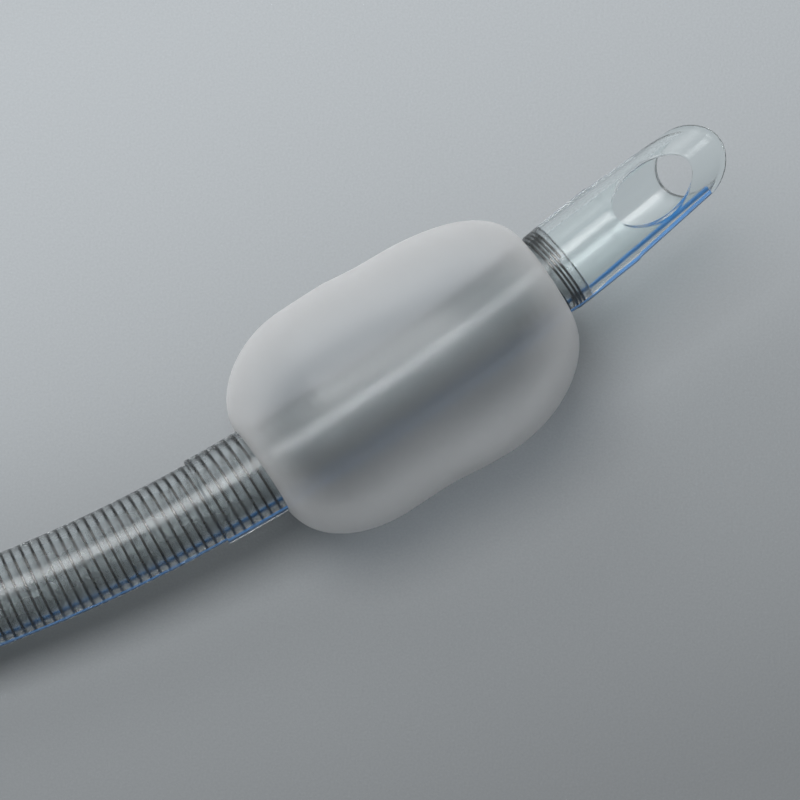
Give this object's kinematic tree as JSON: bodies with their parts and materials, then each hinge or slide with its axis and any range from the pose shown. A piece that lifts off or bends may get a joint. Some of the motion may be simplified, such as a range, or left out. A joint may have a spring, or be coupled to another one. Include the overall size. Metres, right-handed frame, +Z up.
{
  "type": "endotracheal tube",
  "caption": "Curved wire-reinforced breathing tube with an inflated cuff, a clear bevelled tip with a side eye, and a 15 mm connector.",
  "frame": {"origin": "centre of the bounding box, on the surface that the tube lies on", "axes": "+Z up from that surface, +X from the connector end to the tip end, +Y to the inside of the bend"},
  "size_m": [0.2894, 0.0762, 0.0294],
  "materials": {
    "liner": "clear, smooth",
    "jacket": "clear, glossy",
    "wire": "drawn stainless wire",
    "cuff_film": "frosted, translucent",
    "tip": "clear, glossy",
    "blue_line": "opaque blue",
    "connector": "moulded, translucent white"
  },
  "bodies": {
    "root": {"inner_liner": "liner", "outer_jacket": "jacket", "end_sleeve": "jacket", "wire_coil": "wire", "cuff": "cuff_film", "soft_tip": "tip", "radiopaque_line": "blue_line", "connector": "connector"}
  },
  "joints": []
}
